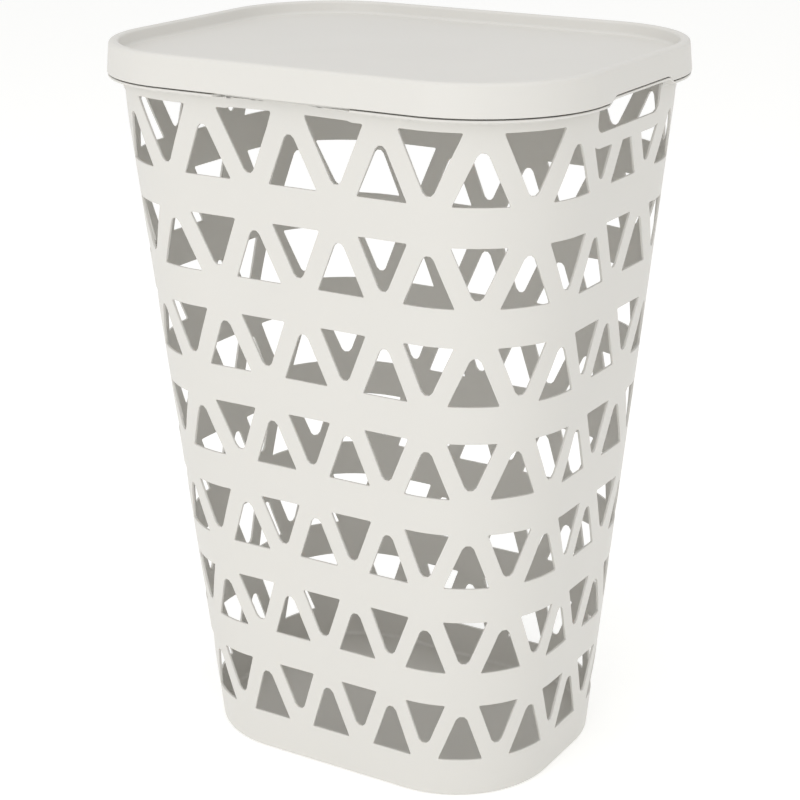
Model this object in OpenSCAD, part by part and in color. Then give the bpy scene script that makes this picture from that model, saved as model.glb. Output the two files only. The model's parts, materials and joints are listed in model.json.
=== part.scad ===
// Laundry hamper: a tapering, perforated tub moulded in one piece and a dished lid that
// snaps on two bars at the back of the rim. Millimetres, +Z up, front towards -Y.
// The origin is on the ground, at the middle of the base.

/* [Basket shell] */
// Length of the base, left to right
base_len = 323; // [260:1:380]
// Depth of the base, front to back
base_depth = 236.8; // [195:0.1:300]
// Corner radius of the base, seen from above
base_corner = 90; // [60:1:98]
// Corner radius of the wall just under the rim
mouth_corner = 97.5; // [70:0.5:115]
// Lean of the two end walls from the vertical, degrees
end_draft = 4.56; // [3:0.01:6]
// Lean of the front and back walls from the vertical, degrees
front_draft = 4.4; // [3:0.01:6]
// Height of the top of the rim lip
rim_z = 590; // [450:1:700]
// Wall thickness
wall = 2.3; // [1.6:0.1:3.5]
// Thickness of the floor
floor_t = 2.6; // [2:0.1:5]
// Depth of the hollow under the floor, inside the standing ring
foot_h = 3; // [1:0.5:6]
// Width of the standing ring
foot_w = 9; // [5:0.5:15]

/* [Openings in the wall] */
// Rows of openings
rows = 7; // [3:1:7]
// Pairs of up and down triangles around the basket
columns = 16; // [12:4:20]
// Height of the base line of the last row
last_row_z = 41.2; // [36:0.1:60]
// Height of a whole triangle, measured to its sharp corner
opening_h = 48.6; // [30:0.1:56]
// Share of the column pitch that a triangle's base takes
opening_share = 0.554; // [0.35:0.001:0.62]
// Radius of a triangle's rounded corner
apex_r = 5; // [2:0.1:7]
// From the top of the lip down to the base line of the first row
first_row = 19; // [16:0.1:30]
// How far the down triangles of the first row reach above their base line
top_stretch = 7.3; // [0:0.1:9]
// How far the up triangles of the last row reach below their base line
bottom_stretch = 4.8; // [0:0.1:10]

/* [Rim and handles] */
// Thickness of the rim lip
lip_t = 2; // [1.5:0.1:3]
// Radius under the lip
lip_fillet = 4; // [1:0.5:5]
// How far the lip reaches out from the wall
lip_reach = 9.4; // [7.5:0.1:13]
// Lip trimmed away along the back, so that the lid can swing past
back_trim = 0.8; // [0:0.1:2]
// Width of each handle slot
slot_w = 110; // [80:1:132]
// From the underside of the lip down to the bottom of the slot
slot_h = 21.6; // [16:0.1:26]
// Corner radius of the slot
slot_r = 9; // [4:0.5:10]
// Solid band kept around the slot
slot_band = 12.3; // [8:0.1:16]
// Rise of the lip above each slot
arch_rise = 4.6; // [0:0.1:6]
// How far the raised stretch of lip runs past each end of the slot
arch_past = 2; // [0:0.5:4]
// Length of the slope at each end of the raised stretch
arch_ramp = 10; // [4:1:20]
// Width of the finger recess in the front of the lip
recess_w = 126; // [80:1:128]
// Length of the curve at each end of the recess
recess_ramp = 5; // [3:1:25]
// Lip left inside the recess
recess_lip = 1; // [0.5:0.1:3]

/* [Lid] */
// How far the skirt stands out past the lip
skirt_past = 0.6; // [0:0.1:2]
// How much larger the skirt's corner radius is than the wall's under the rim
corner_extra = 6.5; // [2:0.1:12]
// Height of the lid
lid_h = 25.3; // [22:0.1:32]
// Gap between the skirt and the lip
seam = 1.1; // [0.6:0.1:2]
// Lean of the skirt over its height
skirt_lean = 2.4; // [0:0.1:4]
// Thickness of the lid
lid_wall = 2.2; // [1.6:0.1:3]
// Depth of the dished panel below the crest
dish = 10.9; // [6:0.1:13]
// Gap under the bend of the dish, where it rests on the collar
rest_gap = 0.3; // [0.2:0.1:1]

/* [Hinge] */
// From the end of the straight back to the nearest cheek of a hinge
hinge_in = 1.2; // [0:0.1:30]
// Width of a hook on the lid
hook_w = 22; // [12:1:30]
// Thickness of the ring of a hook
hook_t = 2.1; // [1.6:0.1:3]
// Diameter of a hinge bar
bar_d = 4; // [3:0.1:6]
// Clearance around the bar
bar_clear = 0.3; // [0.2:0.1:0.8]
// Height of the hinge line below the top of the lip
hinge_drop = 6; // [5:0.1:12]
// Least clearance between a hook and the wall
hook_clear = 1; // [0.4:0.1:3]
// Clearance at each side of a hook
side_clear = 0.8; // [0.5:0.1:2]
// Mouth of a hook, narrower than the bar that it snaps over
snap_gap = 3.4; // [2.5:0.1:5]
// Thickness of the cheeks that hold a bar
cheek_t = 3; // [2:0.1:5]

/* [Hidden] */
shell_colour = "#E4E3DE";
lid_colour = "#E8E7E3";
arc_steps = 8;              // facets in each corner of the plan
corner_slices = 4;          // upright slices that each corner of the wall is drawn in
lip_under = rim_z - lip_t;
skirt_z = rim_z + seam;
lid_top = skirt_z + lid_h;
panel_z = lid_top - dish;   // top of the dished panel
bend_rise = 1;              // the bend under the dish starts this far above the panel's underside
collar_top = panel_z - lid_wall + bend_rise - rest_gap;
ramp_steps = 4;
flat_past = 3;              // least length of flat past the outermost ramp station
row_pitch = (rim_z - first_row - last_row_z - opening_h)/(rows - 1);
arch_w = slot_w + 2*arch_past;
crest_inset = 6.2;          // middle of the lid's crest, from the skirt's outline
cut_reach = 8;              // how far a cutter reaches each side of the wall
joint_lap = 0.4;            // lap that joins one shape to the next inside one piece

// Half size and corner radius of the wall's outline at height z
function wall_x(z) = base_len/2 + tan(end_draft)*z;
function wall_y(z) = base_depth/2 + tan(front_draft)*z;
function wall_r(z) = base_corner + (mouth_corner - base_corner)*z/rim_z;
function outline(z, inset = 0) = [wall_x(z) - inset, wall_y(z) - inset, wall_r(z) - inset];
skirt_reach = lip_reach + skirt_past;
lid_x = wall_x(rim_z) + skirt_reach;
lid_y = wall_y(rim_z) + skirt_reach;
function lid_outline(inset = 0) = [lid_x - inset, lid_y - inset, mouth_corner + corner_extra - inset];

// Smooth step from 1 inside a stretch of width w to 0 outside it, with a ramp at each end
function ease(t) = t <= 0 ? 0 : t >= 1 ? 1 : (1 - cos(180*t))/2;
function stretch(d, w, ramp) = ease((w/2 - abs(d))/ramp);
function rise(y) = arch_rise*stretch(y, arch_w, arch_ramp);
function scoop(x) = stretch(x, recess_w, recess_ramp);

// Stations along a flat of half length f, where ramps begin, bend and end
function stations(f, w, ramp) =
    [for (i = [0:ramp_steps]) (w/2 - ramp*i/ramp_steps)*min(1, f/(w/2 + flat_past))];
function there(f, w, ramp) = [for (s = stations(f, w, ramp)) -s];
function back(f, w, ramp) = [for (i = [ramp_steps:-1:0]) stations(f, w, ramp)[i]];
function flat_run(f, w, ramp) = concat(there(f, w, ramp), back(f, w, ramp));
function arc(cx, cy, r, from) =
    [for (i = [0:arc_steps]) [cx + r*cos(from + 90*i/arc_steps), cy + r*sin(from + 90*i/arc_steps)]];

// One closed ring of plan points, counter-clockwise from the front; o = [half x, half y, radius]
function plan(o) =
    let (x = o[0], y = o[1], r = o[2], fx = x - r, fy = y - r)
    concat(
        [for (s = flat_run(fx, recess_w, recess_ramp)) [s, -y]], arc(fx, -fy, r, -90),
        [for (s = flat_run(fy, arch_w, arch_ramp)) [x, s]], arc(fx, fy, r, 0),
        [for (s = flat_run(fx, recess_w, recess_ramp)) [-s, y]], arc(-fx, fy, r, 90),
        [for (s = flat_run(fy, arch_w, arch_ramp)) [-x, -s]], arc(-fx, -fy, r, 180));

// The ring at height z. lift: 1 follows the raised lip at the handles. cut: depth of the recess.
// trim: flat taken off the back
function ring(o, z, lift = 0, cut = 0, trim = 0) =
    [for (p = plan(o)) [p[0], p[1] < 0 ? p[1] + cut*scoop(p[0]) : min(p[1], o[1] - trim),
        z + lift*rise(p[1])]];

// A solid through a stack of rings, closed by a flat face at each end
function middle(r) = [0, 0, r[0][2]];
module loft(rings) {
    n = len(rings[0]);
    last = len(rings) - 1;
    points = concat([for (r = rings) each r], [middle(rings[0]), middle(rings[last])]);
    sides = [for (k = [0:last - 1], i = [0:n - 1], t = [0, 1])
        let (a = k*n + i, b = k*n + (i + 1)%n)
        t == 0 ? [a, a + n, b] : [b, a + n, b + n]];
    first_cap = [for (i = [0:n - 1]) [i, (i + 1)%n, (last + 1)*n]];
    last_cap = [for (i = [0:n - 1]) [last*n + (i + 1)%n, last*n + i, (last + 1)*n + 1]];
    polyhedron(points = points, faces = concat(sides, first_cap, last_cap), convexity = 10);
}

// Length of the outline at height z, and the place and heading at a share u of it
function round_len(z) = 4*(wall_x(z) + wall_y(z)) - (8 - 2*PI)*wall_r(z);
function on_quarter(s, o) =
    let (fx = o[0] - o[2], fy = o[1] - o[2], q = PI*o[2]/2)
    s <= fx ? [s, -o[1], 0]
    : s <= fx + q ? let (a = (s - fx)/o[2]*180/PI) [fx + o[2]*sin(a), -fy - o[2]*cos(a), a]
    : [o[0], -fy + s - fx - q, 90];
function on_wall(u, z) =
    let (len4 = round_len(z)/4, k = floor(u*4), s = (u*4 - k)*len4, o = outline(z))
    k == 0 ? on_quarter(s, o)
    : k == 1 ? let (p = on_quarter(len4 - s, o)) [p[0], -p[1], 180 - p[2]]
    : k == 2 ? let (p = on_quarter(s, o)) [-p[0], -p[1], 180 + p[2]]
    : let (p = on_quarter(len4 - s, o)) [-p[0], p[1], 360 - p[2]];

// A triangle with a base and one rounded corner; up = 1 points upwards, -1 downwards.
// It is drawn about its column's axis, which leans by skew, with heights measured from z = 0
module triangle(z_base, half, h, more, up, skew, z_mid) {
    side = atan(half/h);
    tip = z_base + up*h;
    centre = tip - up*apex_r/sin(side);
    wide = half*(h + more)/h;
    low = z_base - up*more;
    round_tip = [for (i = [0:4])
        let (a = (90 - side)*(1 - i/2))
        [apex_r*sin(a), centre + up*apex_r*cos(a)]];
    points = concat([[wide, low]], round_tip, [[-wide, low]]);
    polygon([for (p = points) [p[0] + skew*(p[1] - z_mid), p[1]]]);
}

// The band kept clear around a handle slot, on the side wall, centred on d
module slot_keep(d) {
    r = slot_r + slot_band;
    half = slot_w/2 + slot_band - r;
    foot = lip_under - slot_h + slot_r;
    polygon(concat(
        [for (i = [0:6]) [d - half + r*cos(180 + 15*i), foot + r*sin(180 + 15*i)]],
        [for (i = [0:6]) [d + half + r*cos(270 + 15*i), foot + r*sin(270 + 15*i)]],
        [[d + half + r, rim_z], [d - half - r, rim_z]]));
}

// One opening: row i from the top, column j counted in half pitches from the front
module opening(i, j) {
    up = (i + j) % 2 == 0 ? 1 : -1;
    z_top = rim_z - first_row - i*row_pitch;
    z_low = z_top - opening_h;
    z_mid = (z_top + z_low)/2;
    z_base = up > 0 ? z_low : z_top;
    u = j/(2*columns);
    more = up > 0 ? (i == rows - 1 ? bottom_stretch : 0) : (i == 0 ? top_stretch : 0);
    half = opening_share*round_len(z_base)/columns/2;
    here = on_wall(u, z_mid);
    above = on_wall(u, z_top);
    below = on_wall(u, z_low);
    along = [cos(here[2]), sin(here[2])];
    skew = ((above[0] - below[0])*along[0] + (above[1] - below[1])*along[1])/(z_top - z_low);
    side_u = u < 0.5 ? 0.25 : 0.75;
    to_slot = (side_u - u)*round_len(z_mid);
    near_slot = i == 0 && abs(to_slot) < slot_w/2 + slot_band + half;
    translate([here[0], here[1], 0]) rotate([0, 0, here[2]]) rotate([90, 0, 0])
        linear_extrude(height = 2*cut_reach, center = true)
            if (near_slot)
                difference() {
                    triangle(z_base, half, opening_h, more, up, skew, z_mid);
                    slot_keep(to_slot);
                }
            else triangle(z_base, half, opening_h, more, up, skew, z_mid);
}

// The openings that reach into a stretch. Side 0 is the front, 1 the right end, 2 the back and
// 3 the left end, and each corner comes after its side
module openings_near(side, corner) {
    middle = side/4 + (corner ? 0.125 : 0);
    for (i = [0:rows - 1], j = [0:2*columns - 1])
        if (abs((j/(2*columns) - middle + 1.5) % 1 - 0.5) < 0.125) opening(i, j);
}

// The handle slot as a profile in the side wall, following the raised lip along its top
module slot_profile() {
    half = slot_w/2 - slot_r;
    foot = lip_under - slot_h + slot_r;
    ramp = stations(arch_w/2 + flat_past, arch_w, arch_ramp);
    across = concat([slot_w/2], ramp, [for (i = [ramp_steps:-1:0]) -ramp[i]], [-slot_w/2]);
    tops = [for (y = across) if (abs(y) <= slot_w/2) [y, lip_under - joint_lap + rise(y)]];
    polygon(concat(
        [for (i = [0:6]) [-half + slot_r*cos(180 + 15*i), foot + slot_r*sin(180 + 15*i)]],
        [for (i = [0:6]) [half + slot_r*cos(270 + 15*i), foot + slot_r*sin(270 + 15*i)]],
        tops));
}
module slots() {
    for (s = [-1, 1]) translate([s*(wall_x(rim_z) - cut_reach), 0, 0]) rotate([90, 0, 90])
        linear_extrude(height = 4*cut_reach, center = true) slot_profile();
}

// The tub is one moulding. It is drawn as a floor and upright stretches of wall that meet face to
// face, each nearly flat, so that the inside, the slots and the finger recess stay open in
// collision: three in front, one at the back, one at each end, and four slices in each corner.
floor_z = foot_h + floor_t;
base_fillet = 3;
wall_z = floor_z + base_fillet; // the walls start here, above the fillet inside the floor

module tray() {
    loft([
        ring(outline(0, foot_w), foot_h),
        ring(outline(0, foot_w), 0),
        ring(outline(0, base_fillet), 0),
        ring(outline(0, base_fillet*0.3), base_fillet*0.3),
        ring(outline(base_fillet), base_fillet),
        ring(outline(wall_z), wall_z),
        ring(outline(wall_z, wall), wall_z),
        ring(outline(floor_z, wall + base_fillet), floor_z)]);
}

// Section of the wall, from the foot of its outside up over the lip and collar, and down inside
function wall_rings() =
    let (lip = lid_outline(skirt_past), cut = lip_reach - recess_lip, bend = 0.3*lip_fillet)
    [ring(outline(wall_z), wall_z),
     ring(outline(lip_under - lip_fillet), lip_under - lip_fillet),
     ring(outline(lip_under, -bend), lip_under - bend, 1),
     ring(outline(lip_under, -bend - recess_lip/2), lip_under, 1),
     ring(lip, lip_under, 1, cut, back_trim),
     ring(lip, rim_z, 1, cut, back_trim),
     ring(outline(rim_z), rim_z, 1),
     ring(outline(collar_top), collar_top),
     ring(outline(collar_top, wall), collar_top),
     ring(outline(wall_z, wall), wall_z)];

// End face of a stretch, as triangles between the points of the section
END_FACE = [[8, 7, 6], [9, 8, 6], [6, 5, 4], [6, 4, 3], [6, 3, 2], [6, 2, 1], [9, 6, 1], [9, 1, 0]];

// A stretch of wall from one station of the plan to another
module stretch_of_wall(first, last) {
    rings = wall_rings();
    m = len(rings);
    n = len(rings[0]);
    points = [for (i = [first:last], k = [0:m - 1]) rings[k][i % n]];
    sides = [for (i = [0:last - first - 1], k = [0:m - 1], t = [0, 1])
        let (a = i*m + k, b = i*m + (k + 1)%m)
        t == 0 ? [a, b, a + m] : [a + m, b, b + m]];
    end_face = [for (f = END_FACE) [for (v = [2, 1, 0]) (last - first)*m + f[v]]];
    polyhedron(points = points, faces = concat(sides, END_FACE, end_face), convexity = 10);
}

// Stations of the plan where the flat and the corner of each side start
flat_count = 2*(ramp_steps + 1);
side_count = flat_count + arc_steps + 1;
function flat_start(side) = (side + 4)*side_count - 1;
function corner_start(side) = (side + 4)*side_count + flat_count;

/* Hinge line, shared by the bars and the hooks */
hook_r = bar_d/2 + bar_clear + hook_t;
hinge_x = wall_x(rim_z) - mouth_corner - hinge_in - cheek_t - side_clear - hook_w/2;
hinge_y = max(lid_y - hook_r, wall_y(rim_z) + hook_clear + hook_r);
hinge_z = rim_z - hinge_drop;

module hinge_notches() {
    for (s = [-1, 1])
        translate([s*hinge_x - hook_w/2 - side_clear, wall_y(rim_z) + 0.1, hinge_z - 2*hook_r])
            cube([hook_w + 2*side_clear, 3*hook_r, 2*hook_r + rim_z - hinge_z + 1]);
}
module hinge_bars() {
    span = hook_w + 2*side_clear;
    root = wall_y(hinge_z - bar_d) - joint_lap;
    for (s = [-1, 1]) translate([s*hinge_x, 0, 0]) {
        for (e = [-1, 1])
            translate([e*(span + cheek_t)/2 - cheek_t/2, root, hinge_z - bar_d/2 - 1])
                cube([cheek_t, hinge_y + bar_d/2 + 0.8 - root, rim_z - hinge_z + bar_d/2]);
        translate([0, hinge_y, hinge_z]) rotate([0, 90, 0])
            cylinder(d = bar_d, h = span + cheek_t, center = true, $fn = 48);
    }
}

module basket_floor() color(shell_colour) tray();
// part: 0 left of the finger recess, 1 across it, 2 right of it
module basket_front(part) color(shell_colour) difference() {
    recess_start = flat_start(0) + ramp_steps + 1;
    limits = [flat_start(0), recess_start, recess_start + 1, corner_start(0)];
    stretch_of_wall(limits[part], limits[part + 1]);
    openings_near(0, false);
}
module basket_back() color(shell_colour) {
    difference() {
        stretch_of_wall(flat_start(2), corner_start(2));
        openings_near(2, false);
        hinge_notches();
    }
    hinge_bars();
}
module basket_end(side) color(shell_colour) difference() {
    stretch_of_wall(flat_start(side), corner_start(side));
    openings_near(side, false);
    slots();
}
module basket_corner(side, slice) color(shell_colour) difference() {
    steps = arc_steps/corner_slices;
    first = corner_start(side) + slice*steps;
    stretch_of_wall(first, first + steps);
    openings_near(side, true);
    slots();
}

// Skin of the lid, from the middle of the dish over the crest, down the skirt and back underneath
module lid_skin() {
    t = lid_wall;
    out = function(i, z, lift = 0) ring(lid_outline(i), z, lift);
    loft([
        out(crest_inset + 9.5 + t, panel_z - t),
        out(crest_inset + 4.8 + t, panel_z - t + bend_rise),
        out(crest_inset + 2, panel_z + 2.6),
        out(crest_inset + 1.6, lid_top - t - 0.6),
        out(crest_inset, lid_top - t),
        out(skirt_lean + t, lid_top - t - 1.8),
        out(t, skirt_z, 1),
        out(0, skirt_z, 1),
        out(skirt_lean, lid_top - 3.4),
        out(skirt_lean + 1, lid_top - 1),
        out(crest_inset - 1.2, lid_top),
        out(crest_inset + 1.2, lid_top),
        out(crest_inset + 3.6, lid_top - 1.4),
        out(crest_inset + 4.6, lid_top - 3.8),
        out(crest_inset + 6.6, panel_z + 2.4),
        out(crest_inset + 11.5, panel_z)]);
}

// C-shaped hooks under the back of the skirt, bored to turn on the bars
module hooks() {
    for (s = [-1, 1]) translate([s*hinge_x, 0, 0])
        difference() {
            union() {
                translate([0, hinge_y, hinge_z]) rotate([0, 90, 0])
                    cylinder(r = hook_r, h = hook_w, center = true, $fn = 64);
                translate([-hook_w/2, hinge_y, hinge_z])
                    cube([hook_w, hook_r - 0.6, skirt_z + 3 - hinge_z]);
            }
            translate([0, hinge_y, hinge_z]) rotate([0, 90, 0])
                cylinder(d = bar_d + 2*bar_clear, h = hook_w + 2, center = true, $fn = 48);
            translate([-hook_w/2 - 1, hinge_y - snap_gap/2, hinge_z - hook_r - 1])
                cube([hook_w + 2, snap_gap, hook_r + 1]);
        }
}

module lid() color(lid_colour) {
    lid_skin();
    hooks();
}

basket_floor();
basket_front(0);  // basket_front_left
basket_front(1);  // basket_front_middle
basket_front(2);  // basket_front_right
basket_back();
basket_end(1);  // basket_end_right
basket_end(3);  // basket_end_left
basket_corner(0, 0);  // basket_corner_front_right_1
basket_corner(0, 1);  // basket_corner_front_right_2
basket_corner(0, 2);  // basket_corner_front_right_3
basket_corner(0, 3);  // basket_corner_front_right_4
basket_corner(1, 0);  // basket_corner_back_right_1
basket_corner(1, 1);  // basket_corner_back_right_2
basket_corner(1, 2);  // basket_corner_back_right_3
basket_corner(1, 3);  // basket_corner_back_right_4
basket_corner(2, 0);  // basket_corner_back_left_1
basket_corner(2, 1);  // basket_corner_back_left_2
basket_corner(2, 2);  // basket_corner_back_left_3
basket_corner(2, 3);  // basket_corner_back_left_4
basket_corner(3, 0);  // basket_corner_front_left_1
basket_corner(3, 1);  // basket_corner_front_left_2
basket_corner(3, 2);  // basket_corner_front_left_3
basket_corner(3, 3);  // basket_corner_front_left_4
lid();
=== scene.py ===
# %% [markdown]
# # A laundry hamper with a hinged lid
#
# The hamper is two injection mouldings in off-white polypropylene. The **basket** is a tub that
# leans outwards as it rises, with seven rows of triangular openings, a thin lip round the rim and
# a collar above the lip. The **lid** hangs its skirt over that lip, carries a dished panel, and
# clips round two short bars at the back.
#
# Both are drawn again here as dense smooth shells, because a moulding shows its quality in the soft
# light along rounded edges. Lengths are in millimetres until a mesh is made.

# %% Load the frame
import json
import math

import bmesh
import bpy
import numpy as np
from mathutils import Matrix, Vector
from mathutils.geometry import delaunay_2d_cdt


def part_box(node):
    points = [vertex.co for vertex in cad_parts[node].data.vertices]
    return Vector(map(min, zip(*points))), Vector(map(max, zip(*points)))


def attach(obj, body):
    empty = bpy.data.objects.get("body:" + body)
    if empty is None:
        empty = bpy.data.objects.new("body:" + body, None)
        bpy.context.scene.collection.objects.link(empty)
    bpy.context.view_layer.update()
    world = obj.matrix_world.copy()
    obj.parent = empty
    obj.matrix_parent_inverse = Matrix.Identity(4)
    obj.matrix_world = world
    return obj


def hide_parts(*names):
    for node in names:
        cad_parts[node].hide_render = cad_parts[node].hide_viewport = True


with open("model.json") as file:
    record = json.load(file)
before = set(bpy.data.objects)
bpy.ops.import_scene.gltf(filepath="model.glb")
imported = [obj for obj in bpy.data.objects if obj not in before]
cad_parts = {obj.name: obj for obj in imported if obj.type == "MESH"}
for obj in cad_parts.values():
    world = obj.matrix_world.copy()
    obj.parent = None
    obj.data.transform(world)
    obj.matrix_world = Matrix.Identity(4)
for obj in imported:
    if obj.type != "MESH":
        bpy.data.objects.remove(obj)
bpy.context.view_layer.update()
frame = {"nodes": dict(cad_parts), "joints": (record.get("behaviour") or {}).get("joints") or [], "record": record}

# %% [markdown]
# ## Driving sizes
#
# The overall sizes are read from the frame. The rest are the few that the moulding is drawn from:
# the base outline, the lean of the walls, and the pitch of the openings.

# %% Driving sizes
MM = 0.001
BASKET_NODES = frame["record"]["behaviour"]["bodies"]["basket"]
lid_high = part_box("lid")[1] / MM
HINGE = Vector(frame["joints"][0]["pos_m"]) / MM

BASE_HALF_X, BASE_HALF_Y, BASE_CORNER = 161.5, 118.4, 90.0
END_LEAN, FRONT_LEAN = math.tan(math.radians(4.56)), math.tan(math.radians(4.4))
MOUTH_CORNER = 97.5
RIM = 590.0             # top of the lip
WALL = 2.3
LIP = 2.0               # thickness of the lip
FILLET = 3.6            # under the lip
COLLAR_TOP = max(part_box(node)[1].z for node in BASKET_NODES) / MM
FLOOR_TOP = 5.6
FOOT_HOLLOW, FOOT_WIDTH = 3.0, 9.0  # the ring that the basket stands on

SKIRT_X, SKIRT_Y = lid_high.x, lid_high.y
SKIRT_CORNER = MOUTH_CORNER + 6.5
SKIRT_PAST = 0.6        # the skirt stands out this far past the lip
LID_TOP = lid_high.z
SEAM = 1.1              # gap between skirt and lip
LID_WALL = 2.2
DISH = 10.9             # depth of the panel below the crest

ROWS, COLUMNS = 7, 16
ROW_PITCH, OPENING = 80.2, 48.6  # from row to row, and the height of a triangle
FIRST_ROW = 19.0        # from the top of the lip to the first base line
BASE_SHARE = 0.554      # share of the column pitch that a triangle's base takes
APEX = 5.0              # radius at a triangle's tip
TOP_STRETCH, BOTTOM_STRETCH = 7.3, 4.8  # how far the first and last rows reach out

BASE_RADIUS = 0.9       # at both ends of a triangle's base

# hand slot in each end: width, height, lower corners, and the solid band round it
SLOT_W, SLOT_H, SLOT_R, SLOT_BAND = 110.0, 21.6, 9.0, 12.3
# raised stretch of lip and skirt over a hand slot: rise, width, and each end's ramp
ARCH_RISE, ARCH_W, ARCH_RAMP = 4.6, 114.0, 10.0
# finger recess in front: width, each end's ramp, and the lip that is left
RECESS_W, RECESS_RAMP, RECESS_LIP = 126.0, 5.0, 1.0
# hooks and the cheeks beside them: widths, the gap between them, and the distance in from the corner
HOOK_W, SIDE_GAP, CHEEK, HINGE_IN = 22.0, 0.8, 3.0, 1.2
HINGE_X = BASE_HALF_X + END_LEAN * RIM - MOUTH_CORNER - HINGE_IN - CHEEK - SIDE_GAP - HOOK_W / 2
NOTCH_RAMP = 0.6        # how quickly the lip ends at a hook
NOTCH_SHARE = 0.985     # share of the lip that a notch takes away
BACK_TRIM = 0.8         # the lip ends this much earlier along the back

# %% [markdown]
# ## Outlines seen from above
#
# Every level of the hamper is a rounded rectangle. A place on it is given by its share `u` of the
# way round, counted from the middle of the front, so the same `u` on every level makes one column.

# %% Outlines
def around(u, half_x, half_y, corner):
    """Point and outward heading at share u of a rounded rectangle's length."""
    flat_x, flat_y = half_x - corner, half_y - corner
    bend = math.pi * corner / 2
    quarter = np.floor(u * 4)
    s = (u * 4 - quarter) * (flat_x + flat_y + bend)
    turn = quarter.astype(int) % 4
    s = np.where(turn % 2 == 1, flat_x + flat_y + bend - s, s)
    angle = np.clip((s - flat_x) / corner, 0, math.pi / 2)
    x = np.minimum(s, flat_x) + corner * np.sin(angle)
    y = -flat_y - corner * np.cos(angle) + np.maximum(0, s - flat_x - bend)
    side_x = np.where(turn >= 2, -1, 1)
    side_y = np.where((turn == 1) | (turn == 2), -1, 1)
    return x * side_x, y * side_y, np.sin(angle) * side_x, -np.cos(angle) * side_y


def wall_outline(z, inset=0.0):
    corner = BASE_CORNER + (MOUTH_CORNER - BASE_CORNER) * z / RIM
    return BASE_HALF_X + END_LEAN * z - inset, BASE_HALF_Y + FRONT_LEAN * z - inset, corner - inset


def round_length(z):
    half_x, half_y, corner = wall_outline(z)
    return 4 * (half_x + half_y) - (8 - 2 * math.pi) * corner


def ease(t):
    return 0.5 - 0.5 * np.cos(math.pi * np.clip(t, 0, 1))


def arch(y):
    """Rise of the lip and skirt over a hand slot."""
    return ARCH_RISE * ease((ARCH_W / 2 - np.abs(y)) / ARCH_RAMP)


# %% Stations round the rim
# A regular walk round the outline, with extra stations where the lip is notched for the hooks and
# where the finger recess begins and ends.
STATIONS = 400
regular = np.arange(STATIONS) / STATIONS
notch_edges = [HINGE_X + side * (HOOK_W / 2 + SIDE_GAP) for side in (-1, 1)]
rim_length = round_length(RIM)
extra = []
for edge in notch_edges:
    inward = 1 if edge > HINGE_X else -1
    for step in (-0.9, -0.6, -0.3, 0.0, 0.3):
        share = 0.5 - (edge - step * inward) / rim_length
        extra += [share, 1 - share]
for step in np.linspace(0, 1, 8):
    share = (RECESS_W / 2 - step * RECESS_RAMP) / rim_length
    extra += [share, 1 - share]
U = np.unique(np.round(np.concatenate([regular, extra]), 9))
print("stations round the rim:", len(U))


# %% Lip edge
def lip_edge(u):
    """Where the lip ends, from the root of the lip on the wall."""
    x, y, _, _ = around(u, *wall_outline(RIM))
    ex, ey, _, _ = around(u, SKIRT_X - SKIRT_PAST, SKIRT_Y - SKIRT_PAST, SKIRT_CORNER - SKIRT_PAST)
    reach = SKIRT_Y - SKIRT_PAST - wall_outline(RIM)[1]
    scoop = ease((RECESS_W / 2 - np.abs(ex)) / RECESS_RAMP) * (ey < 0)
    ey = ey + (reach - RECESS_LIP) * scoop
    ey = np.minimum(ey, SKIRT_Y - SKIRT_PAST - BACK_TRIM)
    depth = HOOK_W / 2 + SIDE_GAP - np.abs(np.abs(ex) - HINGE_X)
    notch = ease(depth / NOTCH_RAMP + 0.5) * (ey > 0)
    ex = ex + (x - ex) * notch * NOTCH_SHARE
    ey = ey + (y - ey) * notch * NOTCH_SHARE
    return np.stack([ex - x, ey - y], -1)


LIP_VECTOR = lip_edge(U)
LIP_REACH = np.linalg.norm(LIP_VECTOR, axis=1)
LIP_HEADING = LIP_VECTOR / LIP_REACH[:, None]
print("lip reach, least and most:", LIP_REACH.min().round(2), LIP_REACH.max().round(2))

# %% [markdown]
# ## Skins
#
# A skin is a stack of rings joined by quads. Its shading directions come from the neighbouring
# points, so a rounded edge of a few rings reads as smooth. `Shell` gathers skins and sheets of one
# moulding, welds their shared borders and hands over one closed mesh.

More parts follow.
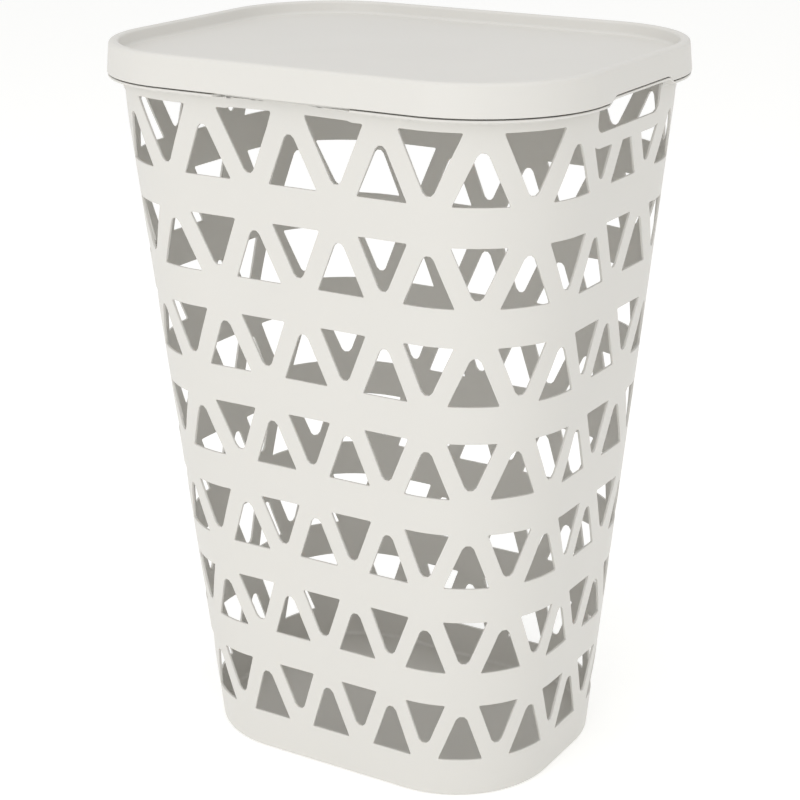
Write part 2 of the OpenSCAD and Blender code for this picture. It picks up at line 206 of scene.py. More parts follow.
# %% Shell
class Shell:
    def __init__(self):
        self.points, self.facings, self.faces = [], [], []
        self.count = 0

    def add(self, points, facings, faces):
        self.points.append(points)
        self.facings.append(facings)
        self.faces += [tuple(int(i) + self.count for i in face) for face in faces]
        self.count += len(points)

    def skin(self, rings, ghosts=(0, 0)):
        """Rings in order, each an N x 3 array. Ghosts are rings at each end used only for shading."""
        grid = np.stack(rings)
        along = np.gradient(grid, axis=0)
        across = np.roll(grid, -1, axis=1) - np.roll(grid, 1, axis=1)
        facing = np.cross(across, along)
        size = np.linalg.norm(facing, axis=2, keepdims=True)
        facing = facing / np.maximum(size, 1e-9)
        first, last = ghosts[0], len(rings) - ghosts[1]
        grid, facing = grid[first:last], facing[first:last]
        k, n = grid.shape[:2]
        i = np.arange(n)
        faces = []
        for row in range(k - 1):
            a, b = row * n + i, row * n + (i + 1) % n
            faces += list(zip(a, b, b + n, a + n))
        self.add(grid.reshape(-1, 3), facing.reshape(-1, 3), faces)

    def mesh(self, name):
        mesh = bpy.data.meshes.new(name)
        points = np.concatenate(self.points) * MM
        mesh.from_pydata(points.tolist(), [], self.faces)
        facing = mesh.attributes.new("facing", "FLOAT_VECTOR", "POINT")
        facing.data.foreach_set("vector", np.concatenate(self.facings).ravel())
        work = bmesh.new()
        work.from_mesh(mesh)
        bmesh.ops.remove_doubles(work, verts=work.verts, dist=0.00001)
        bmesh.ops.dissolve_degenerate(work, edges=work.edges, dist=0.000001)
        loose = [edge for edge in work.edges if len(edge.link_faces) != 2]
        print(name, "points", len(work.verts), "faces", len(work.faces), "open edges", len(loose))
        work.to_mesh(mesh)
        work.free()
        mesh.shade_smooth()
        directions = np.empty(len(mesh.vertices) * 3)
        mesh.attributes["facing"].data.foreach_get("vector", directions)
        mesh.normals_split_custom_set_from_vertices(directions.reshape(-1, 3))
        mesh.attributes.remove(mesh.attributes["facing"])
        return mesh


def shrink(ring, share):
    """The ring drawn in towards its middle, for floors and panels."""
    inner = ring.copy()
    inner[:, :2] *= share
    return inner


def round_edge(count, start, end):
    """Angles of a rounded edge, in degrees, ends included."""
    return [math.radians(start + (end - start) * k / count) for k in range(count + 1)]


# %% [markdown]
# ## The wall and its openings
#
# The wall is one sheet pierced by triangles that point up and down in turn. The mould leaves a
# small radius along every opening, so each opening is drawn as six rings: three for the
# rounded outer edge and three for the inner edge, with the cut face between them. The sheet
# between the openings is triangulated on a plane where it keeps its shape: the wall is rolled out
# on a ring by an exponential map, which closes on itself behind.

# %% The wall as a sheet
# A path height climbs the wall and then follows the fillet out under the lip.
LIP_UNDER = RIM - LIP
FILLET_PATH = 4.0       # path height spent on the fillet
FILLET_SHARE = 0.6      # most of a narrow lip that the fillet may take
WALL_LOW = 9.5          # lower border of the sheet
WALL_FILLET = LIP_UNDER - FILLET_PATH
WALL_HIGH = WALL_FILLET + FILLET_PATH
SQUEEZE_PATH = 14       # stretch below the fillet that makes room for it
ARCH_PATH = 10          # stretch below the fillet in which the arch's rise sets in
WALL_LEAN = math.radians(4.5)
EDGE = 0.45             # radius of the moulded edges
TRUE_LENGTH = 1240.0    # outline length at which the rolled-out wall keeps its shape
ROLL = 2 * math.pi / TRUE_LENGTH


def wall_sheet(u, w):
    """Outer and inner points and headings at share u and path height w."""
    reach = np.interp(u, np.append(U, 1 + U[0]), np.append(LIP_REACH, LIP_REACH[0]))
    fillet = np.minimum(FILLET, FILLET_SHARE * reach)
    swing = np.clip((w - WALL_FILLET) / (WALL_HIGH - WALL_FILLET), 0, 1) * math.pi / 2
    squeeze = np.clip((w - WALL_FILLET + SQUEEZE_PATH) / SQUEEZE_PATH, 0, 1)
    z = w + squeeze * (LIP_UNDER - fillet - WALL_FILLET)
    z = np.where(w > WALL_FILLET, LIP_UNDER - fillet * (1 - np.sin(swing)), z)
    _, y, _, _ = around(u, *wall_outline(z))
    z = z + arch(y) * ease((w - WALL_FILLET + ARCH_PATH) / ARCH_PATH)
    x, y, nx, ny = around(u, *wall_outline(z))
    flare = fillet * (1 - np.cos(swing))
    tilt = np.maximum(swing, WALL_LEAN)
    outer = np.stack([x + nx * flare, y + ny * flare, z], -1)
    inner = np.stack([x - nx * WALL, y - ny * WALL, z], -1)
    out_facing = np.stack([nx * np.cos(tilt), ny * np.cos(tilt), -np.sin(tilt)], -1)
    level, rise = math.cos(WALL_LEAN), math.sin(WALL_LEAN)
    in_facing = np.stack([-nx * level, -ny * level, np.full_like(nx, rise)], -1)
    return outer, inner, out_facing, in_facing


# %% Outlines of the openings
def rounded(corners, radii, steps=3):
    """A closed outline through corners, each rounded, as points and outward directions."""
    points, outs = [], []
    count = len(corners)
    for k in range(count):
        before, here, after = (np.array(corners[(k + d) % count]) for d in (-1, 0, 1))
        a, b = before - here, after - here
        a, b = a / np.linalg.norm(a), b / np.linalg.norm(b)
        half = math.acos(np.clip(a @ b, -1, 1)) / 2
        run = radii[k] / math.tan(half)
        centre = here + (a + b) / np.linalg.norm(a + b) * radii[k] / math.sin(half)
        first, last = here + a * run - centre, here + b * run - centre
        start = math.atan2(first[1], first[0])
        sweep = (math.atan2(last[1], last[0]) - start + math.pi) % (2 * math.pi) - math.pi
        for i in range(steps + 1):
            turn = start + sweep * i / steps
            out = np.array([math.cos(turn), math.sin(turn)])
            points.append(centre + radii[k] * out)
            outs.append(out)
    return np.array(points), np.array(outs)


def fill_in(points, outs, gap):
    """Adds points along straight stretches so that none is longer than gap."""
    new_points, new_outs = [], []
    for k in range(len(points)):
        a, b = points[k], points[(k + 1) % len(points)]
        oa, ob = outs[k], outs[(k + 1) % len(points)]
        pieces = max(1, int(np.linalg.norm(b - a) / gap + 0.5))
        for i in range(pieces):
            out = oa + (ob - oa) * i / pieces
            new_points.append(a + (b - a) * i / pieces)
            new_outs.append(out / np.linalg.norm(out))
    return np.array(new_points), np.array(new_outs)


def opening(row, column):
    """A triangle in millimetres about its column, with heights as path heights."""
    up = 1 if (row + column) % 2 == 0 else -1
    high = RIM - FIRST_ROW - row * ROW_PITCH
    low = high - OPENING
    base = low if up > 0 else high
    half = BASE_SHARE * round_length(base) / COLUMNS / 2
    stretch = 0.0
    if up > 0 and row == ROWS - 1:
        stretch = BOTTOM_STRETCH
    if up < 0 and row == 0:
        stretch = TOP_STRETCH
    wide = half * (OPENING + stretch) / OPENING
    corners = [(-wide, base - up * stretch), (wide, base - up * stretch), (0.0, base + up * OPENING)]
    if up < 0:
        corners = [corners[1], corners[0], corners[2]]
    return corners, [BASE_RADIUS, BASE_RADIUS, APEX]


# %% Openings beside the hand slots
BAND_R = SLOT_R + SLOT_BAND
BAND_X = SLOT_W / 2 + SLOT_BAND - BAND_R    # middle of the band's lower corners, either way
BAND_Z = LIP_UNDER - SLOT_H + SLOT_R
BAND_STEPS = 14         # points along the band's edge


def inside_band(point, offset):
    """How far a point is from the band round a slot; less than zero inside the band."""
    x, z = abs(point[0] - offset) - BAND_X, BAND_Z - point[1]
    if x <= 0:
        return z - BAND_R
    if z <= 0:
        return x - BAND_R
    return math.hypot(x, z) - BAND_R


def cut_by_band(points, offset):
    """The part of a dense outline outside the band, closed along the band's own edge."""
    count = len(points)
    depth = np.array([inside_band(p, offset) for p in points])
    if depth.min() >= 0:
        return points
    if depth.max() <= 0:
        return None
    start = next(k for k in range(count) if depth[k - 1] < 0 <= depth[k])
    kept = []
    for k in range(count):
        i = (start + k) % count
        if depth[i] < 0:
            break
        kept.append(points[i])

    def crossing(a, b):
        for _ in range(30):
            middle = (a + b) / 2
            a, b = (middle, b) if inside_band(middle, offset) < 0 else (a, middle)
        return a

    enter = crossing(points[i], kept[-1])
    leave = crossing(points[start - 1], points[start])
    kept = [leave] + kept + [enter]
    # walk back along the band from where the outline enters it to where it leaves
    for share in np.linspace(0, 1, BAND_STEPS)[1:-1]:
        guess = enter + (leave - enter) * share
        aside = guess[0] - offset
        centre = np.array([offset + math.copysign(BAND_X, aside), BAND_Z])
        if abs(aside) < BAND_X:
            kept.append(np.array([guess[0], LIP_UNDER - SLOT_H - SLOT_BAND]))
        elif guess[1] > centre[1]:
            kept.append(np.array([centre[0] + math.copysign(BAND_R, aside), guess[1]]))
        else:
            away = guess - centre
            kept.append(centre + away / np.linalg.norm(away) * BAND_R)
    return np.array(kept)


def directions_of(points):
    """Outward directions of a counter-clockwise outline, from its neighbours."""
    before, after = np.roll(points, 1, axis=0), np.roll(points, -1, axis=0)
    a, b = points - before, after - points
    a /= np.maximum(np.linalg.norm(a, axis=1, keepdims=True), 1e-9)
    b /= np.maximum(np.linalg.norm(b, axis=1, keepdims=True), 1e-9)
    t = a + b
    t /= np.maximum(np.linalg.norm(t, axis=1, keepdims=True), 1e-9)
    return np.stack([t[:, 1], -t[:, 0]], -1)


# %% All the openings, in share and path height
class Opening:
    def __init__(self, share, points, outs):
        self.share, self.points, self.outs = share, points, outs

    def at(self, offset):
        moved = self.points + self.outs * offset
        return self.share + moved[:, 0] / round_length(moved[:, 1]), moved[:, 1]


def side_of(share):
    return 0.25 if share < 0.5 else 0.75


CUT_REACH = 100         # openings farther than this from a slot's middle stay whole
DENSE_STEP = 0.8        # point spacing of an outline while it is cut
CUT_STEP = 1.1          # least point spacing of an outline that was cut
WHOLE_STEP = 4.0        # point spacing of a whole triangle
SLOT_STEP = 2.5         # point spacing of a hand slot

openings = []
for row in range(ROWS):
    for column in range(2 * COLUMNS):
        share = column / (2 * COLUMNS)
        corners, radii = opening(row, column)
        middle = RIM - FIRST_ROW - row * ROW_PITCH - OPENING / 2
        offset = (side_of(share) - share) * round_length(middle)
        points, outs = rounded(corners, radii)
        if row == 0 and abs(offset) < CUT_REACH:
            dense, _ = fill_in(points, outs, DENSE_STEP)
            cut = cut_by_band(dense, offset)
            if cut is None:
                continue
            if len(cut) != len(dense):
                keep = [cut[0]]
                for p in cut[1:]:
                    if np.linalg.norm(p - keep[-1]) > CUT_STEP:
                        keep.append(p)
                points = np.array(keep)
                openings.append(Opening(share, points, directions_of(points)))
                continue
        openings.append(Opening(share, *fill_in(points, outs, WHOLE_STEP)))

SLOT_TOP = 586.4        # path height just short of the lip's underside
SLOT_TOP_R = 2.0
for share in (0.25, 0.75):
    low, half = LIP_UNDER - SLOT_H, SLOT_W / 2
    corners = [(-half, low), (half, low), (half, SLOT_TOP), (-half, SLOT_TOP)]
    points, outs = rounded(corners, [SLOT_R, SLOT_R, SLOT_TOP_R, SLOT_TOP_R], 6)
    openings.append(Opening(share, *fill_in(points, outs, SLOT_STEP)))
print("openings:", len(openings), "outline points:", sum(len(o.points) for o in openings))


# %% The sheet between the openings
def rolled(u, w):
    size = np.exp(-ROLL * w)
    return np.stack([size * np.cos(2 * math.pi * u), size * np.sin(2 * math.pi * u)], -1)


def clear_of(o, u, w, gap):
    """True for the places that are outside an opening by at least gap."""
    x = ((u - o.share + 0.5) % 1 - 0.5) * round_length(w)
    place = np.stack([x, w], -1)
    a, b = o.points, np.roll(o.points, -1, axis=0)
    ab = b - a
    t = np.einsum("nmk,mk->nm", place[:, None] - a[None], ab) / np.maximum((ab ** 2).sum(1), 1e-9)
    near = a[None] + np.clip(t, 0, 1)[..., None] * ab[None]
    far = np.linalg.norm(place[:, None] - near, axis=2).min(1)
    above = (a[None, :, 1] > w[:, None]) != (b[None, :, 1] > w[:, None])
    climb = np.where(ab[:, 1] == 0, 1e-9, ab[:, 1])
    run = a[None, :, 0] + (w[:, None] - a[None, :, 1]) * ab[None, :, 0] / climb
    inside = (above & (x[:, None] < run)).sum(1) % 2 == 1
    return ~inside & (far > gap)


# A regular grid of points, closer together near the lip, without those in or beside an opening.
GRID_COLUMNS, GRID_ROWS, GRID_TOP = 176, 88, 574
ROWS_AT_LIP = [577, 580, 582, 584, 585.2, 586.4, 587.3]
GRID_GAP = 2.2          # least distance of a grid point from an opening
NEAR_SHARE, NEAR_HEIGHT = 0.003, 3
grid_rows = np.concatenate([np.linspace(WALL_LOW, GRID_TOP, GRID_ROWS)[1:], ROWS_AT_LIP])
su, sw = np.meshgrid((np.arange(GRID_COLUMNS) + 0.5) / GRID_COLUMNS, grid_rows)
su, sw = su.ravel(), sw.ravel()
kept = np.ones(len(su), bool)
for o in openings:
    u, w = o.at(0)
    mid = (u.min() + u.max()) / 2
    beside = np.abs((su - mid + 0.5) % 1 - 0.5) < (u.max() - u.min()) / 2 + NEAR_SHARE
    level_with = (sw > w.min() - NEAR_HEIGHT) & (sw < w.max() + NEAR_HEIGHT)
    index = np.nonzero(beside & level_with & kept)[0]
    if len(index):
        kept[index] = clear_of(o, su[index], sw[index], GRID_GAP)
su, sw = su[kept], sw[kept]

sheet_u, sheet_w = [U, U], [np.full(len(U), WALL_LOW), np.full(len(U), WALL_HIGH)]
loops = [list(range(len(U))), list(range(len(U), 2 * len(U)))]
start = 2 * len(U)
for o in openings:
    u, w = o.at(EDGE)
    sheet_u.append(u)
    sheet_w.append(w)
    loops.append(list(range(start, start + len(u))))
    start += len(u)
sheet_u.append(su)
sheet_w.append(sw)
sheet_u, sheet_w = np.concatenate(sheet_u), np.concatenate(sheet_w)
plane = [Vector(p) for p in rolled(sheet_u, sheet_w)]
edges = [(loop[k], loop[(k + 1) % len(loop)]) for loop in loops for k in range(len(loop))]
result = delaunay_2d_cdt(plane, edges, loops[1:], 0, 1e-9, True)
flat_points, _, flat_faces, point_ids, _, face_ids = result
back = np.array([ids[0] if ids else -1 for ids in point_ids])
print("sheet points", len(flat_points), "new ones", int((back < 0).sum()))
triangles = back[np.array([f for f, ids in zip(flat_faces, face_ids) if not ids])]
corner_u, corner_w = sheet_u[triangles], sheet_w[triangles]
du1 = (corner_u[:, 1] - corner_u[:, 0] + 0.5) % 1 - 0.5
du2 = (corner_u[:, 2] - corner_u[:, 0] + 0.5) % 1 - 0.5
area = du1 * (corner_w[:, 2] - corner_w[:, 0]) - du2 * (corner_w[:, 1] - corner_w[:, 0])
triangles = np.where((area < 0)[:, None], triangles[:, ::-1], triangles)[np.abs(area) > 1e-9]
print("sheet triangles", len(triangles))

# %% [markdown]
# ## The basket
#
# The two sides of the wall share one triangulation. The rim and the base are skins that start and
# end on the sheet's own borders.

# %% Basket wall
basket = Shell()
outer, inner, out_facing, in_facing = wall_sheet(sheet_u, sheet_w)
basket.add(outer, out_facing, triangles)
basket.add(inner, in_facing, triangles[:, ::-1])


def up_the_wall(facing):
    across = np.cross(facing, np.array([0, 0, 1.0]))
    across /= np.linalg.norm(across, axis=1, keepdims=True)
    return -across, np.cross(across, facing)


def cut_face(o):
    """Rounded outer edge, cut face and rounded inner edge of one opening."""
    rings, facings = [], []
    for side, angles in ((0, (0, 45, 90)), (1, (90, 45, 0))):
        for degrees in angles:
            a = math.radians(degrees)
            u, w = o.at(EDGE * (1 - math.sin(a)))
            out_point, in_point, out_dir, in_dir = wall_sheet(u, w)
            across, up = up_the_wall(out_dir)
            away = across * o.outs[:, :1] + up * o.outs[:, 1:]
            point, facing = (out_point, out_dir) if side == 0 else (in_point, in_dir)
            rings.append(point - facing * EDGE * (1 - math.cos(a)))
            facings.append(facing * math.cos(a) - away * math.sin(a))
    n = len(o.points)
    i = np.arange(n)
    faces = []
    for k in range(len(rings) - 1):
        a, b = k * n + i, k * n + (i + 1) % n
        faces += list(zip(a, b, b + n, a + n))
    return np.concatenate(rings), np.concatenate(facings), faces


for o in openings:
    basket.add(*cut_face(o))


# %% Basket base
FOOT_IN_R, FOOT_OUT_R = 0.8, 0.6    # edges of the standing ring, in the hollow and below
BASE_R = 3.2            # outer edge at the bottom
FLOOR_R = 3.4           # between floor and wall
LOW_RING, SHADING_RING = 6.0, 12.0  # a ring below the sheet, and one above its border for shading


def arc_rings(centre_inset, centre_z, radius, start, end, count, make):
    rings = []
    for a in np.linspace(start, end, count + 1):
        turn = math.radians(a)
        rings.append(make(centre_inset + radius * math.cos(turn), centre_z + radius * math.sin(turn)))
    return rings


def wall_ring(inset, z):
    """A ring inside the wall's outline by an inset, measured square to it."""
    x, y, nx, ny = around(U, *wall_outline(z))
    return np.stack([x - nx * inset, y - ny * inset, np.full(len(U), z)], -1)


hollow = wall_ring(FOOT_WIDTH + FOOT_IN_R, FOOT_HOLLOW)
base = [shrink(hollow, share) for share in (0, 0.3, 0.6, 0.85)] + [hollow]
base += arc_rings(FOOT_WIDTH + FOOT_IN_R, FOOT_HOLLOW - FOOT_IN_R, FOOT_IN_R, 90, 180, 3, wall_ring)[1:]
base += arc_rings(FOOT_WIDTH - FOOT_OUT_R, FOOT_OUT_R, FOOT_OUT_R, 0, -90, 3, wall_ring)
base += arc_rings(BASE_R, BASE_R, BASE_R, 270, 180, 6, wall_ring)
base += [wall_ring(0, LOW_RING), wall_ring(0, WALL_LOW), wall_ring(0, SHADING_RING)]
basket.skin(base, (0, 1))

floor = [wall_ring(WALL, SHADING_RING), wall_ring(WALL, WALL_LOW)]
floor += arc_rings(WALL + FLOOR_R, FLOOR_TOP + FLOOR_R, FLOOR_R, 180, 270, 6, wall_ring)
floor += [shrink(floor[-1], share) for share in (0.93, 0.8, 0.6, 0.3, 0)]
basket.skin(floor, (1, 0))


# %% Basket rim
LIP_ROUND, LIP_ROUND_SHARE = 0.7, 0.42      # edges of the lip, and most of a narrow lip they may take
ROOT_ROUND, ROOT_SHARE = 0.9, 0.4           # the same for the hollow between lip and collar
COLLAR_RINGS = ((5, 0.55), (9, 0.15))       # height over the lip, and share of the arch's rise
COLLAR_ROUND = 0.9
INNER_RING = 8          # height over the lip of a ring on the collar's inside
SHADING_STEP = 0.7      # distance of a shading ring from the border


def from_wall(reach, z, lift=1.0):
    """A ring at a distance out from the wall, along the lip's own headings."""
    x, y, _, _ = around(U, *wall_outline(z))
    x_out, y_out = x + LIP_HEADING[:, 0] * reach, y + LIP_HEADING[:, 1] * reach
    ring = np.stack([x_out, y_out, np.full(len(U), z)], -1)
    ring[:, 2] += lift * arch(y)
    return ring


lip_round = np.minimum(LIP_ROUND, LIP_ROUND_SHARE * LIP_REACH)
fillet = np.minimum(FILLET, FILLET_SHARE * LIP_REACH)
rim = [wall_sheet(U, np.full(len(U), w))[0] for w in (WALL_HIGH - SHADING_STEP, WALL_HIGH)]
gap_to_edge = LIP_REACH - lip_round - fillet
rim += [from_wall(fillet + gap_to_edge * share, LIP_UNDER) for share in (0.4, 0.8)]
for a in round_edge(3, -90, 0):
    ring = from_wall(LIP_REACH - lip_round + lip_round * math.cos(a), LIP_UNDER)
    ring[:, 2] += lip_round + lip_round * math.sin(a)
    rim.append(ring)
for a in round_edge(3, 0, 90):
    ring = from_wall(LIP_REACH - lip_round + lip_round * math.cos(a), RIM)
    ring[:, 2] += -lip_round + lip_round * math.sin(a)
    rim.append(ring)
root = np.minimum(ROOT_ROUND, ROOT_SHARE * LIP_REACH)
rim += [from_wall(root + (LIP_REACH - lip_round - root) * share, RIM) for share in (0.6, 0.2)]
for a in round_edge(3, -90, -180):
    ring = from_wall(root + root * math.cos(a), RIM)
    ring[:, 2] += root + root * math.sin(a)
    rim.append(ring)
rim += [from_wall(0, RIM + high, lift) for high, lift in COLLAR_RINGS]
rim += arc_rings(COLLAR_ROUND, COLLAR_TOP - COLLAR_ROUND, COLLAR_ROUND, 180, 90, 4, wall_ring)
rim += arc_rings(WALL - COLLAR_ROUND, COLLAR_TOP - COLLAR_ROUND, COLLAR_ROUND, 90, 0, 4, wall_ring)
rim += [wall_ring(WALL, RIM + INNER_RING)]
rim += [wall_sheet(U, np.full(len(U), w))[1] for w in (WALL_HIGH, WALL_HIGH - SHADING_STEP)]
basket.skin(rim, (1, 1))
basket_mesh = basket.mesh("basket_shell")

# %% [markdown]
# ## The lid
#
# The lid's section is drawn once, as corners with their radii: under the panel, up behind the
# dish, over the channel, down inside the skirt, round its foot, up the skirt, over the crest and
# down into the dish. The section then runs round the outline of the rim.

# %% Lid section
PANEL = LID_TOP - DISH
SKIRT_FOOT = RIM + SEAM
SKIRT_DEPTH = 6         # points of the section nearer the outside than this belong to the skirt
CREST_DEPTH = 4         # the skirt stops rising with the arch this far below the crest


def section(corners):
    """Points of an open section; each corner is (inset, height, radius)."""
    path = [np.array(corners[0][:2])]
    for k in range(1, len(corners) - 1):
        before, here, after = (np.array(corners[k + d][:2]) for d in (-1, 0, 1))
        radius = corners[k][2]
        a, b = before - here, after - here
        la, lb = np.linalg.norm(a), np.linalg.norm(b)
        a, b = a / la, b / lb
        half = math.acos(np.clip(a @ b, -1, 1)) / 2
        run = radius / math.tan(half)
        if run > 0.98 * min(la, lb):
            raise ValueError(f"corner {k} of the section needs {run:.2f} mm of {min(la, lb):.2f} mm")
        centre = here + (a + b) / np.linalg.norm(a + b) * radius / math.sin(half)
        first, last = here + a * run - centre, here + b * run - centre
        start = math.atan2(first[1], first[0])
        sweep = (math.atan2(last[1], last[0]) - start + math.pi) % (2 * math.pi) - math.pi
        steps = max(3, int(abs(sweep) / math.radians(16)))
        for i in range(steps + 1):
            turn = start + sweep * i / steps
            path.append(centre + radius * np.array([math.cos(turn), math.sin(turn)]))
    path.append(np.array(corners[-1][:2]))
    return path


LID_SECTION = section([
    (60.0, PANEL - LID_WALL, 0),
    (14.0, PANEL - LID_WALL, 4.5),
    (8.1, LID_TOP - LID_WALL, 1.6),
    (4.5, LID_TOP - LID_WALL, 1.6),
    (LID_WALL, SKIRT_FOOT, 0.35),
    (0.0, SKIRT_FOOT, 0.8),
    (2.5, LID_TOP, 3.3),
    (10.2, LID_TOP, 2.6),
    (12.4, PANEL, 3.6),
    (60.0, PANEL, 0),
])


def lid_ring(inset, z):
    x, y, _, _ = around(U, SKIRT_X - inset, SKIRT_Y - inset, SKIRT_CORNER - inset)
    fade = np.clip((LID_TOP - CREST_DEPTH - z) / (LID_TOP - CREST_DEPTH - SKIRT_FOOT), 0, 1)
    on_skirt = 1.0 if inset < SKIRT_DEPTH else 0.0
    return np.stack([x, y, z + on_skirt * fade * arch(y)], -1)


lid = Shell()
lid_rings = [lid_ring(inset, z) for inset, z in LID_SECTION]
under = [shrink(lid_rings[0], share) for share in (0, 0.25, 0.5, 0.75)]
over = [shrink(lid_rings[-1], share) for share in (0.75, 0.5, 0.25, 0)]
lid.skin(under + lid_rings + over)
lid_mesh = lid.mesh("lid_shell")

# %% [markdown]
# ## Hinge
#
# Two hooks under the back of the skirt clip over two bars. Each bar runs between cheeks that are
# moulded on the wall, across a notch in the lip.

# %% Hinge parts
HOOK_R, BORE_R, BAR_R, MOUTH = SKIRT_Y - HINGE.y, 2.3, 2.0, 3.4
ARM_IN = 0.6            # the arm's faces, in from the hook's outside and out from its middle
ARM_UP = 1.2            # the arm starts this far over the hinge line and ends this far in the skirt
HOOK_EDGE, BAR_EDGE, CHEEK_EDGE = 0.35, 0.05, 0.4
BAR_PAST = 1            # each end of a bar runs this far into its cheek
CHEEK_SINK = 0.8        # a cheek reaches this far into the wall
CHEEK_UP = 1            # and this far into the lip


def extruded(name, outline, low_x, high_x, bevel):
    """A bar with the given outline in Y and Z, between two places along X."""
    work = bmesh.new()
    near = [work.verts.new((low_x * MM, y * MM, z * MM)) for y, z in outline]
    face = work.faces.new(near)
    grown = bmesh.ops.extrude_face_region(work, geom=[face])
    moved = [v for v in grown["geom"] if isinstance(v, bmesh.types.BMVert)]
    bmesh.ops.translate(work, verts=moved, vec=((high_x - low_x) * MM, 0, 0))
    bmesh.ops.recalc_face_normals(work, faces=work.faces)
    mesh = bpy.data.meshes.new(name)
    work.to_mesh(mesh)
    work.free()
    piece = bpy.data.objects.new(name, mesh)
    bpy.context.scene.collection.objects.link(piece)
    mesh.shade_smooth()
    edge = piece.modifiers.new("moulded edges", "BEVEL")
    edge.width, edge.segments = bevel * MM, 3
    edge.limit_method, edge.angle_limit = "ANGLE", math.radians(40)
    edge.harden_normals = True
    return piece


def turn_points(radius, start, end, count):
    return [(HINGE.y + radius * math.cos(math.radians(a)), HINGE.z + radius * math.sin(math.radians(a)))
            for a in np.linspace(start, end, count)]


def hook_outline():
    gape = math.degrees(math.asin(MOUTH / 2 / BORE_R))
    lips = math.degrees(math.asin(MOUTH / 2 / HOOK_R))
    arm_out, arm_in = HINGE.y + HOOK_R - ARM_IN, HINGE.y + ARM_IN
    outside = turn_points(HOOK_R, -90 + lips, 0, 14)[:-1]
    shoulder = math.degrees(math.asin((arm_in - HINGE.y) / HOOK_R))
    outside.append((arm_out, HINGE.z + ARM_UP))
    outside += [(arm_out - 0.1, SKIRT_FOOT + ARM_UP), (arm_in + 0.2, SKIRT_FOOT + ARM_UP)]
    outside += turn_points(HOOK_R, 90 - shoulder, 270 - lips, 24)
    return outside + turn_points(BORE_R, 270 - gape, -90 + gape, 32)


pieces = []


def link(name, mesh, body):
    piece = bpy.data.objects.new(name, mesh)
    bpy.context.scene.collection.objects.link(piece)
    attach(piece, body)
    pieces.append(piece)
    return piece


basket_piece = link("basket_moulding", basket_mesh, "basket")
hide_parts(*BASKET_NODES)
lid_piece = link("lid_moulding", lid_mesh, "lid")
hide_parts("lid")
for side, word in ((-1, "left"), (1, "right")):
    middle = side * HINGE_X
    hook = extruded(f"lid_hook_{word}", hook_outline(),
                    middle - HOOK_W / 2, middle + HOOK_W / 2, HOOK_EDGE)
    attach(hook, "lid")
    bar = extruded(f"hinge_bar_{word}", turn_points(BAR_R, 0, 345, 24),
                   middle - HOOK_W / 2 - SIDE_GAP - BAR_PAST,
                   middle + HOOK_W / 2 + SIDE_GAP + BAR_PAST, BAR_EDGE)
    pieces += [hook, bar]
    wall_y = wall_outline(HINGE.z)[1]
    cheek = [(wall_y - CHEEK_SINK, HINGE.z - BAR_R - 2.4),
             (HINGE.y, HINGE.z - BAR_R - 0.9),
             (HINGE.y + BAR_R + 0.6, HINGE.z - BAR_R + 0.4),
             (HINGE.y + BAR_R + 0.8, LIP_UNDER + CHEEK_UP),
             (wall_y - CHEEK_SINK, LIP_UNDER + CHEEK_UP)]
    for end in (-1, 1):
        near = middle + end * (HOOK_W / 2 + SIDE_GAP)
        block = extruded(f"hinge_cheek_{word}_{'inner' if end == -side else 'outer'}", cheek,
                         min(near, near + end * CHEEK), max(near, near + end * CHEEK), CHEEK_EDGE)
        pieces.append(block)
        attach(block, "basket")
    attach(bar, "basket")
print("pieces:", [piece.name for piece in pieces])

# %% [markdown]
# ## Finish
#
# Off-white polypropylene with a satin, finely eroded finish. The grain is a fraction of a
# millimetre deep in the mould and only softens the gloss; a slow change in gloss and tone comes
# from the melt as it cools. The wall lets a little light into its depth, which warms the shade
# behind the openings.

# %% Material
def linear(hex_colour):
    """An sRGB hex colour as a linear RGBA tuple."""
    parts = [int(hex_colour[k:k + 2], 16) / 255 for k in (1, 3, 5)]
    return tuple(c / 12.92 if c <= 0.04045 else ((c + 0.055) / 1.055) ** 2.4 for c in parts) + (1.0,)


def add(tree, kind, settings=(), **links):
    """One node with its settings, inputs set or linked by name."""
    node = tree.nodes.new(kind)
    for key, value in dict(settings).items():
        setattr(node, key, value)
    for key, value in links.items():
        socket = node.inputs[key.replace("_", " ")]
        if isinstance(value, bpy.types.NodeSocket):
            tree.links.new(value, socket)
        else:
            socket.default_value = value
    return node


def moulded_polypropylene(name, tone, dull_tone):
    material = bpy.data.materials.new(name)
    material.use_nodes = True
    tree = material.node_tree
    tree.nodes.clear()
    place = add(tree, "ShaderNodeTexCoord").outputs["Object"]
    flow = add(tree, "ShaderNodeTexNoise", Vector=place, Scale=7.0, Detail=2.0, Roughness=0.5)
    shade = add(tree, "ShaderNodeMix", {"data_type": "RGBA"})
    tree.links.new(flow.outputs["Fac"], shade.inputs[0])
    shade.inputs[6].default_value = linear(tone)
    shade.inputs[7].default_value = linear(dull_tone)
    gloss = add(tree, "ShaderNodeMapRange", Value=flow.outputs["Fac"],
                From_Min=0.3, From_Max=0.7, To_Min=0.40, To_Max=0.47)
    grain = add(tree, "ShaderNodeTexNoise", Vector=place, Scale=2600.0, Detail=2.0, Roughness=0.6)
    bump = add(tree, "ShaderNodeBump", Strength=0.10, Distance=0.00006, Height=grain.outputs["Fac"])
    surface = add(tree, "ShaderNodeBsdfPrincipled", Base_Color=shade.outputs[2],
                  Roughness=gloss.outputs["Result"], Normal=bump.outputs["Normal"],
                  IOR=1.49, Subsurface_Weight=0.05, Subsurface_Scale=0.002)
    surface.inputs["Subsurface Radius"].default_value = (1.0, 0.85, 0.7)
    add(tree, "ShaderNodeOutputMaterial", Surface=surface.outputs["BSDF"])
    return material


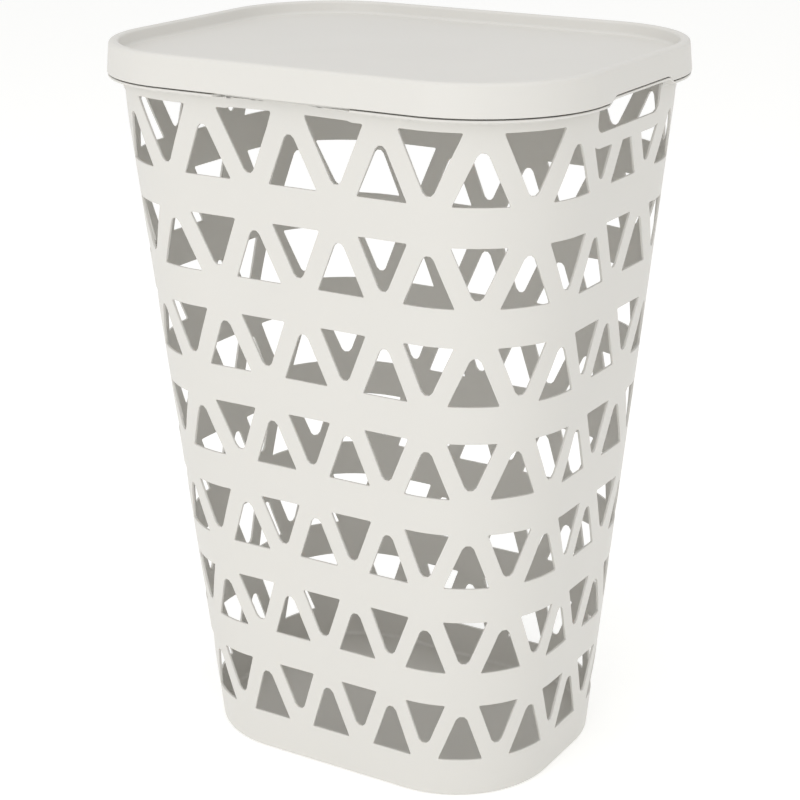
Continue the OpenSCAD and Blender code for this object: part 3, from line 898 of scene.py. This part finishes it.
basket_plastic = moulded_polypropylene("polypropylene off-white satin", "#D5D3CE", "#D2D0CB")
lid_plastic = moulded_polypropylene("polypropylene off-white satin, lid", "#D6D4CF", "#D3D1CC")
for piece in pieces:
    piece.data.materials.clear()
    piece.data.materials.append(lid_plastic if piece.name.startswith("lid") else basket_plastic)
for name, node in frame["nodes"].items():
    node.data.materials.clear()
    node.data.materials.append(lid_plastic if name == "lid" else basket_plastic)

# %% [markdown]
# ## Studio
#
# White paper on the floor, a bright white surround and four weak soft panels, as in a light tent.

# %% Floor
FLOOR_HALF = 14         # metres either way


def sheet_of(name, points, faces):
    mesh = bpy.data.meshes.new(name)
    mesh.from_pydata(points, [], faces)
    piece = bpy.data.objects.new(name, mesh)
    bpy.context.scene.collection.objects.link(piece)
    return piece


floor_corners = [(x * FLOOR_HALF, y * FLOOR_HALF, 0) for x, y in ((-1, -1), (1, -1), (1, 1), (-1, 1))]
floor_piece = sheet_of("studio_floor", floor_corners, [(0, 1, 2, 3)])
paper = bpy.data.materials.new("white studio paper, lit from behind")
paper.use_nodes = True
paper_face = paper.node_tree.nodes["Principled BSDF"]
paper_face.inputs["Base Color"].default_value = linear("#E8E8E6")
paper_face.inputs["Roughness"].default_value = 0.9
paper_face.inputs["Emission Color"].default_value = (1, 1, 1, 1)
paper_face.inputs["Emission Strength"].default_value = 0.33
floor_piece.data.materials.append(paper)


# %% Lights
# Four soft panels on a sphere round the hamper: azimuth from the front and height in degrees, watts.
LAMPS = (("front", 0, 15, 16), ("key", -20, 50, 9.5), ("right", 60, 45, 10.5), ("top", 0, 88, 9.5))
LAMP_DISTANCE, LAMP_SIZE = 3.0, 2.2
AIM_HEIGHT = 0.3


def panel_light(name, place, target, size, power):
    lamp = bpy.data.lights.new(name, "AREA")
    lamp.shape, lamp.size, lamp.energy = "SQUARE", size, power
    holder = bpy.data.objects.new(name, lamp)
    bpy.context.scene.collection.objects.link(holder)
    holder.location = place
    holder.rotation_euler = (Vector(target) - Vector(place)).to_track_quat("-Z", "Y").to_euler()
    return holder


for name, azimuth, height, power in LAMPS:
    across = LAMP_DISTANCE * math.cos(math.radians(height))
    place = (across * math.sin(math.radians(azimuth)), -across * math.cos(math.radians(azimuth)),
             AIM_HEIGHT + LAMP_DISTANCE * math.sin(math.radians(height)))
    panel_light(name, place, (0, 0, AIM_HEIGHT), LAMP_SIZE, power)
world = bpy.data.worlds.new("surround")
world.use_nodes = True
world.node_tree.nodes["Background"].inputs["Color"].default_value = (1, 1, 1, 1)
world.node_tree.nodes["Background"].inputs["Strength"].default_value = 0.76
bpy.context.scene.world = world
bpy.context.scene.view_settings.view_transform = "Standard"

# %% Camera
camera = bpy.data.cameras.new("camera")
camera.lens, camera.sensor_width = 87.0, 36.0
camera.shift_x, camera.shift_y = -0.0464, 0.0345
viewer = bpy.data.objects.new("camera", camera)
bpy.context.scene.collection.objects.link(viewer)
viewer.location = (0.8310, -1.3508, 0.8549)
viewer.rotation_euler = (math.radians(70.0), math.radians(0.0), math.radians(30.51))
bpy.context.scene.camera = viewer
